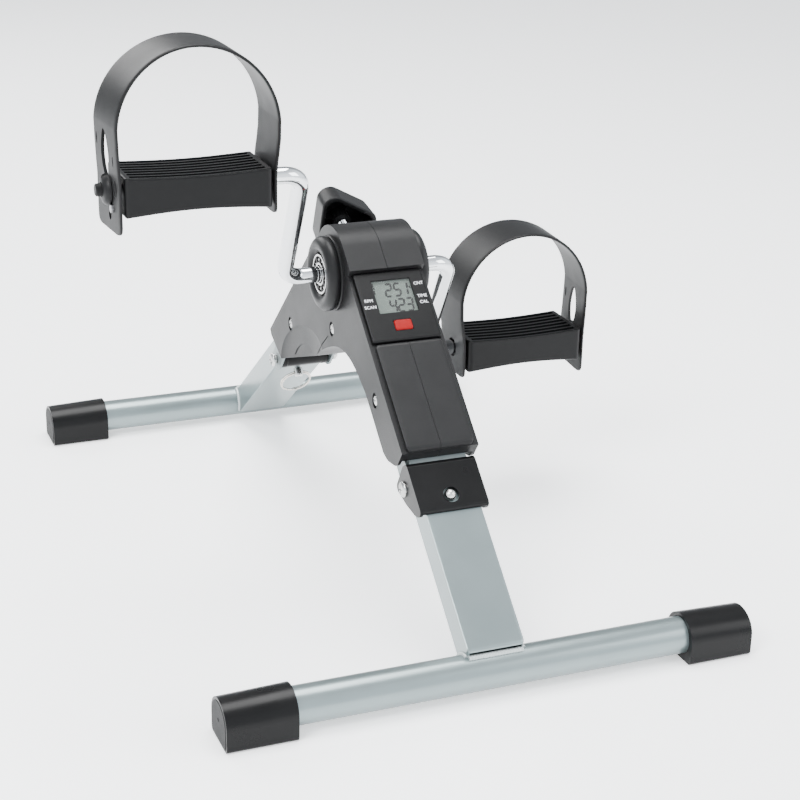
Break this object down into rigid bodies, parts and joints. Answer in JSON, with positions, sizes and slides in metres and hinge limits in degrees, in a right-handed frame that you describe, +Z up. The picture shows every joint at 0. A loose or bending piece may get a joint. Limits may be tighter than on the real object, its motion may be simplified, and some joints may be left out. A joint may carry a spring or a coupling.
{
  "type": "pedal exerciser",
  "caption": "Folding floor-standing pedal exerciser: a cranked axle with strapped pedals in a dark housing with a small display and a tension knob, on fold-under bar feet.",
  "frame": {"origin": "floor level, midway between the feet, on the mid-plane between the pedals", "axes": "+Z up, +X along the crank axle towards the right pedal, -Y towards the display side"},
  "size_m": [0.4092, 0.5408, 0.3999],
  "materials": {
    "silver_paint": "satin silver-grey paint",
    "frame_steel": "dull grey paint",
    "black_plastic": "satin black",
    "cap_plastic": "satin black with a broad sheen",
    "grey_plastic": "fine-grained dark grey",
    "matte_black": "matt black",
    "chrome": "bright chrome plate",
    "zinc": "bright zinc plate",
    "spring_steel": "plain spring wire",
    "ring_steel": "nickel-plated wire",
    "magnet_plating": "nickel plate",
    "strap_rubber": "matt moulded rubber",
    "brake_rubber": "dense friction rubber",
    "red_plastic": "satin red",
    "lcd_glass": "grey-green liquid-crystal display",
    "clear_plastic": "clear acrylic",
    "circuit_green": "green solder mask",
    "nylon": "natural nylon"
  },
  "bodies": {
    "body": {"housing_left": "grey_plastic", "housing_right": "grey_plastic", "main_frame": "frame_steel", "front_hinge_cover": "black_plastic", "rear_hinge_cover": "black_plastic", "front_hinge_bolt": "zinc", "front_hinge_nut": "zinc", "rear_hinge_bolt": "zinc", "rear_hinge_nut": "zinc", "console_case": "black_plastic", "console_window": "clear_plastic", "lcd_panel": "lcd_glass", "circuit_board": "circuit_green", "button_cell": "zinc", "speed_sensor": "matte_black", "axle_bush_left": "nylon", "axle_bush_right": "nylon", "hub_cap_left": "matte_black", "hub_cap_right": "matte_black", "housing_screw_1": "zinc", "housing_screw_2": "zinc", "housing_screw_3": "zinc"},
    "crank": {"crank_rod": "chrome", "brake_drum": "zinc", "sensor_magnet": "magnet_plating", "axle_collar_left": "zinc", "axle_collar_right": "zinc"},
    "left_pedal": {"pedal_left": "black_plastic", "pedal_strap_left": "strap_rubber", "strap_peg_left": "matte_black", "spindle_clip_left": "zinc"},
    "right_pedal": {"pedal_right": "black_plastic", "pedal_strap_right": "strap_rubber", "strap_peg_right": "matte_black", "spindle_clip_right": "zinc"},
    "front_leg": {"front_leg_tube": "silver_paint", "front_foot_tube": "silver_paint", "front_foot_cap_left": "cap_plastic", "front_foot_cap_right": "cap_plastic", "front_hinge_barrel": "matte_black"},
    "front_lock": {"front_lock_button": "chrome", "front_lock_spring": "spring_steel"},
    "rear_leg": {"rear_leg_tube": "silver_paint", "rear_foot_tube": "silver_paint", "rear_foot_cap_left": "cap_plastic", "rear_foot_cap_right": "cap_plastic", "rear_hinge_barrel": "matte_black"},
    "rear_lock": {"rear_lock_pin": "zinc", "rear_lock_spring": "spring_steel"},
    "lock_ring": {"pull_ring": "ring_steel"},
    "brake": {"brake_shoe": "brake_rubber"},
    "tension": {"tension_knob": "grey_plastic", "tension_screw": "chrome"},
    "reset": {"reset_button": "red_plastic"}
  },
  "joints": [
    {"name": "crank_spin", "type": "hinge", "parent": "body", "child": "crank", "pos_m": [0, -0.016, 0.2155], "axis": [1, 0, 0], "continuous": true},
    {"name": "left_pedal_spin", "type": "hinge", "parent": "crank", "child": "left_pedal", "pos_m": [-0.1485, -0.07751, 0.30669], "axis": [1, 0, 0], "continuous": true},
    {"name": "right_pedal_spin", "type": "hinge", "parent": "crank", "child": "right_pedal", "pos_m": [0.1485, 0.04551, 0.12431], "axis": [1, 0, 0], "continuous": true},
    {"name": "front_leg_fold", "type": "hinge", "parent": "body", "child": "front_leg", "pos_m": [0, -0.15471, 0.1049], "axis": [1, 0, 0], "range_deg": [0, 143]},
    {"name": "front_lock_press", "type": "slide", "parent": "front_leg", "child": "front_lock", "axis": [0, -0.6494, 0.7604], "range_m": [-0.005, 0], "stiffness_N_per_m": 400, "springref_m": 0.002, "deforming": ["front_lock_spring"]},
    {"name": "rear_leg_fold", "type": "hinge", "parent": "body", "child": "rear_leg", "pos_m": [0, 0.12925, 0.09817], "axis": [-1, 0, 0], "range_deg": [0, 134]},
    {"name": "rear_lock_pull", "type": "slide", "parent": "rear_leg", "child": "rear_lock", "axis": [0, 0.6143, 0.7891], "range_m": [-0.0055, 0], "stiffness_N_per_m": 400, "springref_m": 0.002, "deforming": ["rear_lock_spring"]},
    {"name": "pull_ring_swing", "type": "hinge", "parent": "rear_lock", "child": "lock_ring", "pos_m": [0, 0.13964, 0.08058], "axis": [1, 0, 0], "range_deg": [-40, 20]},
    {"name": "brake_feed", "type": "slide", "parent": "body", "child": "brake", "axis": [0, 0.9397, 0.342], "range_m": [-0.001, 0.003]},
    {"name": "tension_turn", "type": "hinge", "parent": "brake", "child": "tension", "pos_m": [0, 0.03662, 0.23465], "axis": [0, 0.9397, 0.342], "range_deg": [-360, 1080]},
    {"name": "reset_press", "type": "slide", "parent": "body", "child": "reset", "axis": [0, -0.6494, 0.7604], "range_m": [-0.001, 0], "stiffness_N_per_m": 500, "springref_m": 0.001}
  ],
  "couplings": [
    {"joint": "tension_turn", "follows": "brake_feed", "rad_per_m": 6283.2}
  ]
}
